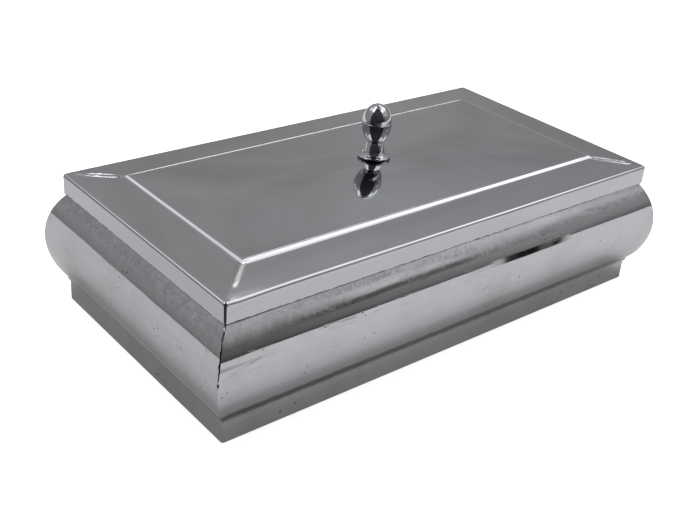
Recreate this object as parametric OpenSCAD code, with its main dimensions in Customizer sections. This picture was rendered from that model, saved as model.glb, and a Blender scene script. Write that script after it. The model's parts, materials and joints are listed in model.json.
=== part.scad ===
// Silverware chest: silver-plated bombé sides over a wooden carcass, on a plinth band,
// with a shallow hinged lid that has a crowned panel and a turned acorn knob.
// Millimetres. X runs along the length, the front faces -Y, and Z is 0 where the chest rests.

/* [Lid] */
// Length of the lid over its rim
lid_l = 360; // [320:1:400]
// Width of the lid over its rim
lid_w = 188; // [170:1:210]
// Height of the lid's upright rim
rim_h = 13; // [12:0.5:16]
// Radius of the rounding along the rim's upper edge
rim_round = 2; // [1.5:0.5:2.5]
// Width of the sloping frame round the raised panel
frame_w = 29; // [26:0.5:34]
// Height of the frame's inner edge above the rim's upper edge
frame_rise = 2; // [1.5:0.5:3]
// Height of the panel's crest above the frame's inner edge
crest_h = 2; // [1.5:0.5:3]
// Rise of the crowned panel from its crest to its middle
crown_rise = 5.8; // [4:0.2:7]

/* [Sides] */
// Height of the plinth band with the cloth under it
plinth_h = 14.3; // [12:0.1:18]
// Height of the bombé sides between the plinth and the lid
side_h = 64.3; // [60:0.1:70]
// Radius of the swelling side, seen from the end
swell_r = 50; // [46:0.5:54]
// Distance from the lid's rim face in to the centre of the swelling
swell_inset = 40; // [37:0.5:43]
// Height of the centre of the swelling
swell_z = 45.5; // [44:0.5:47]
// Thickness of the plated sheet
sheet = 1; // [0.8:0.1:1.2]

/* [Knob] */
// Radius of the acorn at its lip
acorn_r = 10.1; // [9:0.1:11]
// Radius of the waist under the acorn
waist_r = 5; // [4.5:0.1:5.5]
// Radius of the knob's foot
foot_r = 7.8; // [7.2:0.1:8.4]
// Radius of the collar plate
collar_r = 11.3; // [10.5:0.1:12.5]
// Height of the knob with its collar
knob_h = 37.1; // [34:0.1:40]

/* [Carcass and lining] */
// Thickness of the wooden walls
wall_t = 7; // [6.5:0.5:8]
// Thickness of the lining boards on the walls
lining_t = 1.5; // [1:0.1:2]
// Thickness of the floor lining
floor_t = 2; // [1.5:0.1:3]
// Thickness of the dividers
divider_t = 5; // [4:0.5:6]
// Height of the dividers above the floor lining
divider_h = 44; // [35:1:55]
// Width of the cross lane for short pieces
cross_lane = 71; // [50:1:90]

/* [Hinges] */
// Distance of each hinge's middle from the middle of the chest
hinge_x = 100; // [80:5:120]
// Width of a hinge leaf
leaf_w = 30; // [26:1:36]
// Outer radius of the hinge barrel
barrel_r = 2.5; // [2.3:0.1:2.6]
// Radius of the hinge pin
pin_r = 1.2; // [1:0.1:1.3]

/* [Hidden] */
$fn = 96;

// Colours
silver = [0.72, 0.72, 0.73];
oak = [0.72, 0.55, 0.36];
cloth = [0.30, 0.21, 0.17];
brassy = [0.80, 0.64, 0.32];
steel = [0.62, 0.63, 0.65];
baize = [0.16, 0.30, 0.20];

// Small distances
cut = 0.1;
seam_gap = 0.4;
thin = 0.01;

// Heights
baize_t = 1.2;
band_lift = 0.4;
side_top = plinth_h + side_h;
lid_z = side_top + seam_gap;
rim_top = lid_z + rim_h;
frame_top = rim_top + frame_rise;
crest_z = frame_top + crest_h;
lip_drop = 0.3;
panel_z = crest_z - lip_drop;
crown_z = crest_z + crown_rise;
floor_z = plinth_h + floor_t;

// Half lengths along X and half widths along Y
rim_x = lid_l / 2;
rim_y = lid_w / 2;
centre_x = rim_x - swell_inset;
centre_y = rim_y - swell_inset;
band_in = 0.7;
band_x = rim_x - band_in;
band_y = rim_y - band_in;
band_corner_r = 3;
rim_corner_r = 2.5;
wall_x = centre_x + sqrt(pow(swell_r - sheet, 2) - pow(side_top - sheet - swell_z, 2)) - 0.12;
wall_y = wall_x - rim_x + rim_y;
inner_x = wall_x - wall_t;
inner_y = wall_y - wall_t;
lane_x = inner_x - lining_t;
lane_y = inner_y - lining_t;
lane_w = (2 * lane_y - 3 * divider_t) / 4;
cross_x = lane_x - cross_lane - divider_t;

// Raised panel: the frame ends in a shallow valley, and a short steep bank climbs to the crest
bank_w = 2.2;
panel_x = rim_x - frame_w - 1.7;
panel_y = rim_y - frame_w;
ridge_x = 1;
ridge_y = 0.5;
seat_share = (collar_r + 0.3) / panel_y;
corner_steps = 3;
side_steps = 6;

// Hinge: the axis lies behind the rim, level with the gap between lid and sides
axis_y = rim_y + 3;
axis_z = lid_z + 0.25;
leaf_t = 1;
leaf_in = 9.6;
leaf_y0 = rim_y - leaf_in;
leaf_y1 = axis_y - barrel_r - seam_gap;
knuckle_gap = 0.3;
bore_r = pin_r + 0.05;
screw_y = wall_y - wall_t / 2;
screw_pitch = 10;
screw_r = 1;
screw_head_r = 2;
core_z = lid_z + 2;
core_t = rim_h - rim_round - 2;

// Plan of a rectangle with rounded corners
module plate(half_x, half_y, corner_r) {
    hull_x = half_x - corner_r;
    hull_y = half_y - corner_r;
    square([2 * half_x, 2 * hull_y], center = true);
    square([2 * hull_x, 2 * half_y], center = true);
    for (sx = [-1, 1], sy = [-1, 1]) {
        translate([sx * hull_x, sy * hull_y]) circle(corner_r);
    }
}

// Block between two heights with a rectangular plan
module block(half_x, half_y, z0, z1) {
    translate([-half_x, -half_y, z0]) cube([2 * half_x, 2 * half_y, z1 - z0]);
}

// Box given by its lowest and highest corners
module span(low, high) {
    translate(low) cube(high - low);
}

// Rounded corner of a rectangle, counted from the one at +X +Y
function corner_arc(corner, half_x, half_y, corner_r) = [
    for (step = [0:corner_steps])
        let (
            angle = 90 * corner + 90 * step / corner_steps,
            sx = corner == 0 || corner == 3 ? 1 : -1,
            sy = corner < 2 ? 1 : -1
        )
        [
            sx * (half_x - corner_r) + corner_r * cos(angle),
            sy * (half_y - corner_r) + corner_r * sin(angle)
        ]
];

// Ring of points at a height: a rectangle with rounded corners, and points along its sides
function ring(half_x, half_y, corner_r, z) = [
    for (corner = [0:3])
        let (
            arc = corner_arc(corner, half_x, half_y, corner_r),
            next = corner_arc((corner + 1) % 4, half_x, half_y, corner_r),
            start = arc[corner_steps],
            side = [for (k = [1:side_steps - 1]) start + (next[0] - start) * k / side_steps]
        )
        each [for (p = concat(arc, side)) [p.x, p.y, z]]
];

// Ring on the lid, drawn in from the rim by an inset
function inset_ring(inset_x, inset_y, corner_r, z) = ring(rim_x - inset_x, rim_y - inset_y, corner_r, z);

// Arch that is one in the middle and zero at one, from a near tent to a plain arch as it gets rounder
function arch(t, roundness) =
    1 - (sqrt(t * t + roundness * roundness) - roundness) / (sqrt(1 + roundness * roundness) - roundness);

// Rise of the crowned panel over its edge at a point
function crown_at(p) = (crown_z - panel_z) * arch(p.x / panel_x, ridge_x) * arch(p.y / panel_y, ridge_y);

// Rings of the crowned panel under a skin, from its edge to the flat seat of the knob in its middle
function crown_rings(skin, edge) = concat(
    [
        for (share = [edge, 0.86, 0.7, 0.54, 0.38, 0.26])
            [for (p = ring(panel_x * share, panel_y * share, 0.6, panel_z - skin)) [p.x, p.y, p.z + crown_at(p)]]
    ],
    [ring(panel_x * seat_share, panel_y * seat_share, 0.6, crown_z - skin)]
);

// Solid through a stack of rings, lowest first, with its two ends closed round a middle point
module stack(rings) {
    n = len(rings[0]);
    count = n * len(rings);
    sides = [
        for (level = [0:len(rings) - 2], i = [0:n - 1])
            let (a = level * n + i, b = level * n + (i + 1) % n)
            each [[a, a + n, b + n], [a, b + n, b]]
    ];
    under = [for (i = [0:n - 1]) [i, (i + 1) % n, count]];
    over = [for (i = [0:n - 1]) [count - n + (i + 1) % n, count - n + i, count + 1]];
    polyhedron(
        points = concat([for (r = rings) each r], [[0, 0, rings[0][0].z], [0, 0, rings[len(rings) - 1][0].z]]),
        faces = concat(under, sides, over)
    );
}

// Outer form of the lid, or its inside when drawn in by the sheet's thickness
module lid_form(skin) {
    knee = rim_round * (1 - cos(45));
    bank_x = rim_x - panel_x - bank_w;
    bank_y = rim_y - panel_y - bank_w;
    lowest = skin > 0 ? lid_z - cut : lid_z;
    slant = skin / 4;
    stack(concat([
        inset_ring(skin, skin, rim_corner_r - skin, lowest),
        inset_ring(skin, skin, rim_corner_r - skin, rim_top - rim_round),
        inset_ring(knee + skin * cos(45), knee + skin * cos(45), 1, rim_top - knee - skin * sin(45)),
        inset_ring(rim_round, rim_round, 0.6, rim_top - skin),
        inset_ring(bank_x + slant, bank_y + slant, 0.6, frame_top - skin),
        inset_ring(bank_x + bank_w + slant, bank_y + bank_w + slant, 0.6, crest_z - skin)
    ], crown_rings(skin, 0.985)));
}

// Section of a bombé side seen from the end, with the rim face at zero and the outside at +X
module side_section() {
    translate([-swell_inset, swell_z]) intersection() {
        difference() {
            circle(swell_r);
            circle(swell_r - sheet);
        }
        translate([0, plinth_h - swell_z]) square([swell_r + 1, side_h]);
    }
    flange_in = rim_x - inner_x;
    foot_in = rim_x - wall_x;
    edge_top = swell_inset - sqrt(pow(swell_r - sheet / 2, 2) - pow(side_top - sheet - swell_z, 2));
    edge_foot = swell_inset - sqrt(pow(swell_r - sheet / 2, 2) - pow(swell_z - plinth_h, 2));
    translate([-flange_in, side_top - sheet]) square([flange_in - edge_top - sheet / 2, sheet]);
    translate([-foot_in, plinth_h]) square([foot_in - edge_foot, sheet]);
}

// Bombé side facing +X along its full run, before the mitres are cut
module side_run(half_length) {
    translate([0, half_length, 0]) rotate([90, 0, 0]) linear_extrude(2 * half_length) side_section();
}

// Wedge that cuts the mitres of a side facing +X: its two upright faces meet the corners
module mitre_wedge(centre, other_centre) {
    reach = centre + swell_r + 2;
    tip = centre - other_centre;
    half = reach - tip;
    translate([0, 0, plinth_h - cut]) linear_extrude(side_h + 2 * cut) {
        polygon([[max(tip, 0), max(-tip, 0)], [reach, half], [reach, -half], [max(tip, 0), -max(-tip, 0)]]);
    }
}

module end_side_sheet() {
    intersection() {
        translate([rim_x, 0, 0]) side_run(rim_y + 12);
        mitre_wedge(centre_x, centre_y);
    }
}

module long_side_sheet() {
    rotate([0, 0, -90]) intersection() {
        translate([rim_y, 0, 0]) side_run(rim_x + 12);
        mitre_wedge(centre_y, centre_x);
    }
}

// Places along the chest where small flush pins hold the turned-in edge of the sheets
pin_long_x = [-135, 0, 135];
pin_end_y = [-45, 45];
pin_row_x = (inner_x + wall_x) / 2;
pin_row_y = (inner_y + wall_y) / 2;
small_pin_r = 0.7;
small_pin_l = 9;

module at_sheet_pins() {
    for (x = pin_long_x, sy = [-1, 1]) translate([x, sy * pin_row_y, side_top]) children();
    for (y = pin_end_y, sx = [-1, 1]) translate([sx * pin_row_x, y, side_top]) children();
}

// Screws through the base board into the walls
base_screw_x = 115;
base_screw_y = 48;
base_screw_r = 1.5;
base_screw_l = 24;

module at_base_screws() {
    for (sx = [-1, 1], sy = [-1, 1]) {
        translate([sx * base_screw_x, sy * pin_row_y, baize_t]) children();
        translate([sx * pin_row_x, sy * base_screw_y, baize_t]) children();
    }
}

// Countersunk screw that starts at its head's face and runs up
module screw(shaft_r, head_r, length) {
    cylinder(r1 = head_r, r2 = shaft_r, h = head_r - shaft_r);
    cylinder(r = shaft_r, h = length);
}

// The three screws of one hinge leaf
module at_leaf_screws(z) {
    for (side = [-1, 1], step = [-1, 0, 1]) {
        translate([side * hinge_x + step * screw_pitch, screw_y, z]) children();
    }
}

module base_baize() {
    color(baize) translate([0, 0, 0]) linear_extrude(baize_t) {
        plate(band_x - sheet - 0.3, band_y - sheet - 0.3, band_corner_r - sheet);
    }
}

module base_board() {
    color(oak) difference() {
        translate([0, 0, baize_t]) linear_extrude(plinth_h - baize_t) {
            plate(band_x - sheet, band_y - sheet, band_corner_r - sheet);
        }
        at_base_screws() translate([0, 0, -thin]) screw(base_screw_r, 3, base_screw_l);
    }
}

module base_screws() {
    color(steel) at_base_screws() screw(base_screw_r, 3 - 2 * thin, base_screw_l);
}

module plinth_band() {
    color(silver) translate([0, 0, band_lift]) linear_extrude(plinth_h - band_lift) difference() {
        plate(band_x, band_y, band_corner_r);
        plate(band_x - sheet, band_y - sheet, band_corner_r - sheet);
    }
}

module sheet_pin_holes() {
    at_sheet_pins() translate([0, 0, -small_pin_l]) cylinder(r = small_pin_r, h = small_pin_l + 1);
}

module front_side_sheet() {
    color(silver) difference() {
        long_side_sheet();
        sheet_pin_holes();
    }
}

module back_side_sheet() {
    color(silver) difference() {
        mirror([0, 1, 0]) long_side_sheet();
        sheet_pin_holes();
        for (side = [-1, 1]) hinge_notch(side, side_top - leaf_t - cut / 2, side_top + 1);
    }
}

module left_side_sheet() {
    color(silver) difference() {
        mirror([1, 0, 0]) end_side_sheet();
        sheet_pin_holes();
    }
}

module right_side_sheet() {
    color(silver) difference() {
        end_side_sheet();
        sheet_pin_holes();
    }
}

// Room for a hinge leaf at the back, between two heights
module hinge_notch(side, z0, z1) {
    half = leaf_w / 2 + knuckle_gap;
    x = side * hinge_x;
    span([x - half, leaf_y0 - knuckle_gap, z0], [x + half, axis_y, z1]);
}

module long_wall(side) {
    color(oak) difference() {
        translate([-wall_x, side > 0 ? inner_y : -wall_y, plinth_h]) {
            cube([2 * wall_x, wall_t, side_h - sheet]);
        }
        sheet_pin_holes();
        at_base_screws() cylinder(r = base_screw_r, h = base_screw_l);
        if (side > 0) at_leaf_screws(side_top - leaf_t - 8) cylinder(r = screw_r, h = 9);
    }
}

module front_wall() {
    long_wall(-1);
}

module back_wall() {
    long_wall(1);
}

module end_wall(side) {
    color(oak) difference() {
        translate([side > 0 ? inner_x : -wall_x, -inner_y, plinth_h]) {
            cube([wall_t, 2 * inner_y, side_h - sheet]);
        }
        sheet_pin_holes();
        at_base_screws() cylinder(r = base_screw_r, h = base_screw_l);
    }
}

module left_wall() {
    end_wall(-1);
}

module right_wall() {
    end_wall(1);
}

module sheet_pins() {
    color(brassy) at_sheet_pins() {
        cylinder(r = 1.5, h = 0.5);
        translate([0, 0, -small_pin_l]) cylinder(r = small_pin_r, h = small_pin_l);
    }
}

module floor_lining() {
    color(cloth) block(inner_x, inner_y, plinth_h, floor_z);
}

lining_top = side_top - 0.4;

module front_lining() {
    color(cloth) span([-inner_x, -inner_y, floor_z], [inner_x, -lane_y, lining_top]);
}

module back_lining() {
    color(cloth) span([-inner_x, lane_y, floor_z], [inner_x, inner_y, lining_top]);
}

module left_lining() {
    color(cloth) span([-inner_x, -lane_y, floor_z], [-lane_x, lane_y, lining_top]);
}

module right_lining() {
    color(cloth) span([lane_x, -lane_y, floor_z], [inner_x, lane_y, lining_top]);
}

module cross_divider() {
    color(cloth) span([cross_x, -lane_y, floor_z], [cross_x + divider_t, lane_y, floor_z + divider_h]);
}

// Divider between two long lanes, counted from the front
module lane_divider(count) {
    y = -lane_y + count * lane_w + (count - 1) * divider_t;
    color(cloth) span([-lane_x, y, floor_z], [cross_x, y + divider_t, floor_z + divider_h]);
}

module front_lane_divider() {
    lane_divider(1);
}

module middle_lane_divider() {
    lane_divider(2);
}

module back_lane_divider() {
    lane_divider(3);
}

// One leaf of a butt hinge: a flat plate, with a tab and a knuckle over each stretch of the barrel
module hinge_leaf(side, z0, stretches, screw_z, screw_up) {
    x = side * hinge_x;
    color(brassy) difference() {
        union() {
            span([x - leaf_w / 2, leaf_y0, z0], [x + leaf_w / 2, leaf_y1, z0 + leaf_t]);
            for (s = stretches) {
                span([x + s[0], leaf_y0, z0], [x + s[1], axis_y, z0 + leaf_t]);
                translate([x + s[0], axis_y, axis_z]) rotate([0, 90, 0]) {
                    cylinder(r = barrel_r, h = s[1] - s[0]);
                }
            }
        }
        translate([x - leaf_w, axis_y, axis_z]) rotate([0, 90, 0]) cylinder(r = bore_r, h = 2 * leaf_w);
        at_leaf_screws(screw_z) mirror([0, 0, screw_up ? 0 : 1]) translate([0, 0, -thin]) {
            screw(screw_r, screw_head_r, 4);
        }
    }
}

knuckle_half = leaf_w / 6;
outer_stretches = [
    [-leaf_w / 2, -knuckle_half - knuckle_gap / 2],
    [knuckle_half + knuckle_gap / 2, leaf_w / 2]
];
middle_stretch = [[-knuckle_half + knuckle_gap / 2, knuckle_half - knuckle_gap / 2]];

module left_hinge_body_leaf() {
    hinge_leaf(-1, side_top - leaf_t, outer_stretches, side_top, false);
}

module right_hinge_body_leaf() {
    hinge_leaf(1, side_top - leaf_t, outer_stretches, side_top, false);
}

module left_hinge_lid_leaf() {
    hinge_leaf(-1, core_z - leaf_t, middle_stretch, core_z - leaf_t, true);
}

module right_hinge_lid_leaf() {
    hinge_leaf(1, core_z - leaf_t, middle_stretch, core_z - leaf_t, true);
}

// Hinge pin with a low riveted head against each end of the barrel
module hinge_pin(side) {
    head_t = 0.7;
    color(brassy) translate([side * hinge_x - leaf_w / 2, axis_y, axis_z]) rotate([0, 90, 0]) {
        cylinder(r = pin_r, h = leaf_w);
        translate([0, 0, -head_t]) cylinder(r = 1.9, h = head_t);
        translate([0, 0, leaf_w]) cylinder(r = 1.9, h = head_t);
    }
}

module left_hinge_pin() {
    hinge_pin(-1);
}

module right_hinge_pin() {
    hinge_pin(1);
}

module body_hinge_screws() {
    color(brassy) at_leaf_screws(side_top) mirror([0, 0, 1]) screw(screw_r, screw_head_r - thin, 8.8);
}

module lid_hinge_screws() {
    color(brassy) at_leaf_screws(core_z - leaf_t) screw(screw_r, screw_head_r - thin, 8);
}

stud_r = 2;

module lid_cover() {
    color(silver) difference() {
        lid_form(0);
        lid_form(sheet);
        for (side = [-1, 1]) hinge_notch(side, lid_z - 1, core_z + cut / 2);
        translate([0, 0, panel_z - 1]) cylinder(r = stud_r, h = crown_z - panel_z + 2);
    }
}

washer_z = core_z + 4;

module lid_core_board() {
    color(oak) difference() {
        translate([0, 0, core_z]) linear_extrude(core_t) {
            plate(rim_x - sheet, rim_y - sheet, rim_corner_r - sheet);
        }
        translate([0, 0, core_z - 1]) cylinder(r = 7.5, h = washer_z - core_z + 2);
        cylinder(r = stud_r, h = 200);
        at_leaf_screws(core_z - 1) cylinder(r = screw_r, h = 8);
    }
}

module panel_backing() {
    backing_gap = 0.2;
    edge = 0.975;
    foot_ring = ring(panel_x * edge, panel_y * edge, 0.6, core_z + core_t);
    color(oak) difference() {
        stack(concat([foot_ring], crown_rings(sheet + backing_gap, edge)));
        cylinder(r = stud_r, h = 200);
    }
}

module lid_lining() {
    color(cloth) block(lane_x - 0.5, lane_y - 0.5, lid_z + 0.2, core_z);
}

module lid_bumpers() {
    bumper_x = (inner_x + wall_x) / 2;
    bumper_y = inner_y - 18;
    color(baize) for (sx = [-1, 1], sy = [-1, 1]) {
        translate([sx * bumper_x, sy * bumper_y, side_top + 0.3]) cylinder(r = 2.5, h = core_z - side_top - 0.3);
    }
}

// Domed collar plate under the knob
collar_h = 4.5;

module knob_collar() {
    edge_h = 1.1;
    dome = [for (a = [0:15:90]) [
        foot_r - 0.3 + (collar_r - foot_r + 0.3) * sin(a),
        edge_h + (collar_h - edge_h) * cos(a)
    ]];
    color(silver) translate([0, 0, crown_z]) rotate_extrude() {
        polygon(concat([[stud_r, 0], [stud_r, collar_h]], dome, [[collar_r, edge_h], [collar_r - 0.6, 0]]));
    }
}

// Turned acorn: flared foot, waist, cup with a lip, and a slightly narrower dome
waist_z = 10.5;
lip_z = 23.6;
dome_r = acorn_r - 0.5;

module knob_finial() {
    foot = [for (t = [0:0.125:1]) [
        waist_r + (foot_r - waist_r) * pow(1 - t, 1.7),
        collar_h + 0.8 + (waist_z - collar_h - 0.8) * t
    ]];
    cup = [for (t = [0.1:0.1:1]) [
        waist_r + (acorn_r - waist_r) * sin(90 * pow(t, 1.1)),
        waist_z + (lip_z - waist_z) * t
    ]];
    dome = [for (a = [0:7.5:82.5]) [
        dome_r * cos(a),
        lip_z + 0.6 + (knob_h - lip_z - 0.6) * sin(a)
    ]];
    color(silver) translate([0, 0, crown_z]) difference() {
        rotate_extrude() polygon(concat(
            [[0, collar_h], [foot_r - 0.4, collar_h]],
            foot, cup, [[acorn_r, lip_z + 0.4]], dome, [[0, knob_h]]
        ));
        cylinder(r = stud_r, h = waist_z + 1);
    }
}

module knob_stud() {
    color(steel) translate([0, 0, core_z + 0.8]) {
        cylinder(r = stud_r, h = crown_z + waist_z - core_z);
    }
}

module knob_washer() {
    color(steel) translate([0, 0, washer_z]) difference() {
        cylinder(r = 7, h = 1);
        cylinder(r = stud_r, h = 3, center = true);
    }
}

module knob_nut() {
    nut_t = 3;
    across_corners = 8.1;
    color(steel) translate([0, 0, washer_z - nut_t]) difference() {
        cylinder(d = across_corners, h = nut_t, $fn = 6);
        cylinder(r = stud_r, h = 3 * nut_t, center = true);
    }
}

base_baize();
base_board();
base_screws();
plinth_band();
front_side_sheet();
back_side_sheet();
left_side_sheet();
right_side_sheet();
front_wall();
back_wall();
left_wall();
right_wall();
sheet_pins();
floor_lining();
front_lining();
back_lining();
left_lining();
right_lining();
cross_divider();
front_lane_divider();
middle_lane_divider();
back_lane_divider();
left_hinge_body_leaf();
right_hinge_body_leaf();
left_hinge_pin();
right_hinge_pin();
body_hinge_screws();
lid_cover();
lid_core_board();
panel_backing();
lid_lining();
lid_bumpers();
left_hinge_lid_leaf();
right_hinge_lid_leaf();
lid_hinge_screws();
knob_collar();
knob_finial();
knob_stud();
knob_washer();
knob_nut();
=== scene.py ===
# Silverware chest: polished silver plate over wood, lined lanes inside, brass hinges at the back.
import json
import math

import bpy
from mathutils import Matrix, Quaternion, Vector, noise

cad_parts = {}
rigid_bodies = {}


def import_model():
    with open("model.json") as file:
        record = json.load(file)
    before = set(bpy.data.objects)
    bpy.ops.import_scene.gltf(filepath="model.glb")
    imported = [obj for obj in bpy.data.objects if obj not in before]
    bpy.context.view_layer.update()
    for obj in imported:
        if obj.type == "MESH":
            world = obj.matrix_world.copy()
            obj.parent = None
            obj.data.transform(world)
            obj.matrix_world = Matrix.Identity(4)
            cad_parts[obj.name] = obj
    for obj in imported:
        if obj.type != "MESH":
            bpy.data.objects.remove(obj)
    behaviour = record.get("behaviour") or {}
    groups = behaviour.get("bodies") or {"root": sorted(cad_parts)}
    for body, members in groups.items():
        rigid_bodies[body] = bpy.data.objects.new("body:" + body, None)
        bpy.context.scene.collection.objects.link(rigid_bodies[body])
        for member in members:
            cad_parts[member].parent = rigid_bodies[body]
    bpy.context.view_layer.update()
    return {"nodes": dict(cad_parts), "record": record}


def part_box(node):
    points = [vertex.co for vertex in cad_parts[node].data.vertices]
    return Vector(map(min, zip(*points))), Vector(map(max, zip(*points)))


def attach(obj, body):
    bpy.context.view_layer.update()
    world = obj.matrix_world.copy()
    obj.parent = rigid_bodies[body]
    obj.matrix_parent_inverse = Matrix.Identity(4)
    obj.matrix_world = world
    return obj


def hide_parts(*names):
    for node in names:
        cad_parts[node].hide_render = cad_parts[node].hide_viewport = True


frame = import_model()

MM = 0.001

# Places taken from the frame
lid_low, lid_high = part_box("lid_cover")
band_low, band_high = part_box("plinth_band")

RIM_X, RIM_Y, LID_Z = lid_high.x, lid_high.y, lid_low.z
SIDE_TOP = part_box("right_side_sheet")[1].z
CROWN_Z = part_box("knob_collar")[0].z

# Thickness of the plated sheet
SHEET = 1 * MM

# Lid: the upright rim, its rounding along the top and at the corners, and the border of the raised panel
RIM_H = 13 * MM
RIM_TOP = LID_Z + RIM_H
RIM_ROUND = 2 * MM
RIM_CORNER = 2.5 * MM
PANEL_Z = LID_Z + 16.7 * MM
PANEL_X, PANEL_Y = RIM_X - 32.2 * MM, RIM_Y - 30.5 * MM
# Groove, crest and bank round the panel: millimetres out from its border, and up from the foot of the rim
CREST_SECTION = [
    (0.2, 16.64), (0.4, 16.56), (0.6, 16.58), (0.8, 16.7), (1.0, 16.78), (1.2, 16.76), (1.4, 16.68), (1.65, 16.54),
    (1.9, 16.37), (2.2, 16.15), (2.5, 15.93), (2.8, 15.73), (3.1, 15.57), (3.4, 15.45), (3.8, 15.34), (4.3, 15.25),
    (4.9, 15.18),
]
# The frame falls gently from the bank to the rim, a little higher than straight
FRAME_RINGS = 28
FRAME_END, FRAME_BELLY = 13.14, 0.12
RIM_RINGS = 7
# Heights of the edges down the rim's outside
RIM_EDGES = (9.5, 8, 6, 4, 2.05, 1, 0)
# How round the panel's crown is along and across: small values leave a ridge
RIDGE_X, RIDGE_Y = 1.0, 0.42
# Columns and rows of the panel, crowded towards its corners so that the corner folds come out clean
FINE_COLUMNS, FINE_STEP = 16, 0.5 * MM
PANEL_COLUMNS, PANEL_ROWS = 116, 68

# Notches for the hinges: how far from the middle they lie, and half their width
HINGE_X = 100 * MM
NOTCH_HALF = 15.3 * MM

# Swelling of the sides, one arc seen from the end: its radius, how far inside the rim its centre lies, and how high
SWELL_R = 50 * MM
SWELL_IN = 40 * MM
SWELL_Z = 45.5 * MM

# Camera, worked out from the corners of the lid and the plinth
CAMERA_PLACE = Vector((-433.8, -473.3, 371.4)) * MM
CAMERA_TURN = math.radians(41.65)
CAMERA_DOWN = math.radians(28.77)
CAMERA_ROLL = math.radians(5.04)
LENS = 52.97

# The floor that is seen
FLOOR_SIZE, FLOOR_GLOW = 60, 0.78

# Glowing sheet that the metal mirrors in place of the floor, in metres from the middle: its reach in front, at the
# left and elsewhere
MIRROR_FRONT, MIRROR_LEFT, MIRROR_REACH = 2.2, 0.62, 3.0
# Its tones of painted shade by distance from the plinth, as shares of half a metre
SHADE_REACH = 0.5
FLOOR_SHADE = [
    (0.0, 0.30), (0.02, 0.33), (0.04, 0.45), (0.06, 0.64), (0.09, 0.78), (0.13, 0.88), (0.3, 0.98), (1.0, 1.0),
]
# How far along its painted shade lightens past the chest's right end, as if it lay further off, and how dim it is at
# the left
RIGHT_LIGHTER = (0.175, 0.25, 0.0, 0.04)
LEFT_DIMMER = 0.86
# Painted shadow sector of it: its way, the cosines of its sides, where it starts and its tone
SHADOW_WAY = (-0.67, -0.743, 0)
SHADOW_SIDES, SHADOW_START = (0.72, 0.86), (0.3, 0.42)
SHADOW_TONE = (0.1, 0.1, 0.11, 1)

# Tones of the room by degrees above the horizon, in general and on the right hand and in front
ROOM_BEHIND = [
    (-90, 0.1), (-8, 0.12), (-3.5, 0.36), (12, 0.365), (25, 0.4), (34, 0.47), (42, 0.58), (47, 0.7), (62, 0.7),
    (75, 0.5),
]
ROOM_AHEAD = [
    (-90, 0.02), (-1.6, 0.02), (0, 0.22), (4, 0.35), (11, 0.4), (17, 0.45), (24, 0.5), (33, 0.58), (47, 0.72),
    (62, 0.7), (75, 0.5),
]
AHEAD_WAY, AHEAD_REACH, AHEAD_EDGE = (140, 0), (75, 200), 0.3
# Dark patches of the room: the way they lie, half width and half height in degrees, softness and tint
ROOM_PATCHES = [
    ((161, 2), (17, 15), 0.6, (0.5, 0.45, 0.43)),
    ((141, 13.5), (6, 2.6), 0.5, (0.45, 0.42, 0.41)),
    ((80, 16), (26, 26), 0.6, (0.78, 0.79, 0.8)),
    ((222, 35), (56, 75), 0.14, (0.11, 0.11, 0.13)),
    ((41, 76), (32, 22), 0.3, (0.16, 0.16, 0.18)),
]
# Light patches, given likewise, with their brightness
LIGHT_PATCHES = [
    ((139, 21.5), (3.2, 4), 0.5, 0.95),
    ((100, 52), (18, 15), 0.3, 2.2),
    ((-22, 38.5), (13, 8), 0.3, 1.4),
    ((60, 56), (12, 12), 0.2, 1.8),
    ((-15, 68), (30, 7), 0.25, 2.6),
    ((146, 57), (17, 11), 0.15, 2.3),
    ((-62, 57), (20, 11), 0.15, 2.3),
    ((128, 24), (4, 5), 0.7, 0.9),
]
# Row of things that stand on the table in front: its left end, how far off it is, its height and depth
THING_LEFT, THING_AWAY, THING_HIGH, THING_DEEP = 0.4155, -0.52, 0.073, 0.02
# Where each of them starts along the row, its width and its tone, and the length of one unit of the row
TABLE_THINGS = [(5, 2.5, 0.75), (7.5, 36, 0.012), (43.5, 15, 0.16), (58.5, 14, 0.015), (72.5, 7, 0.8)]
THING_SCALE = 0.001565


def alone(piece):
    """Selects one piece and nothing else."""
    if bpy.context.object and bpy.context.object.mode != "OBJECT":
        bpy.ops.object.mode_set(mode="OBJECT")
    bpy.ops.object.select_all(action="DESELECT")
    piece.select_set(True)
    bpy.context.view_layer.objects.active = piece


def named(name):
    """Gives the new active object its name."""
    piece = bpy.context.object
    piece.name = name
    piece.data.name = name
    return piece


def settle(piece):
    """Puts the piece's place, turn and size into its mesh."""
    alone(piece)
    bpy.ops.object.transform_apply(location=True, rotation=True, scale=True)


def pick_where(piece, kind, chosen):
    """Opens the piece for editing with the vertices, edges or faces selected whose corners are the chosen ones."""
    alone(piece)
    mesh = piece.data
    places = [v.co.copy() for v in mesh.vertices]
    for group in (mesh.vertices, mesh.edges, mesh.polygons):
        group.foreach_set("select", [False] * len(group))
    group = {"VERT": mesh.vertices, "EDGE": mesh.edges, "FACE": mesh.polygons}[kind]
    for part in group:
        corners = [part.index] if kind == "VERT" else list(part.vertices)
        if chosen([places[i] for i in corners]):
            part.select = True
    bpy.context.tool_settings.mesh_select_mode = [kind == each for each in ("VERT", "EDGE", "FACE")]
    bpy.ops.object.mode_set(mode="EDIT")


def pick(piece, kind, test):
    """Opens the piece for editing with those parts selected whose corners all pass the test."""
    pick_where(piece, kind, lambda corners: all(test(c) for c in corners))


def pick_all(piece):
    """Opens the piece for editing with all of it selected."""
    alone(piece)
    bpy.ops.object.mode_set(mode="EDIT")
    bpy.ops.mesh.select_all(action="SELECT")


def close():
    bpy.ops.object.mode_set(mode="OBJECT")


def move_points(piece, rule):
    """Moves each point of the piece by a rule, as a former or stake does to sheet."""
    for v in piece.data.vertices:
        v.co = rule(v.co.copy())


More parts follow.
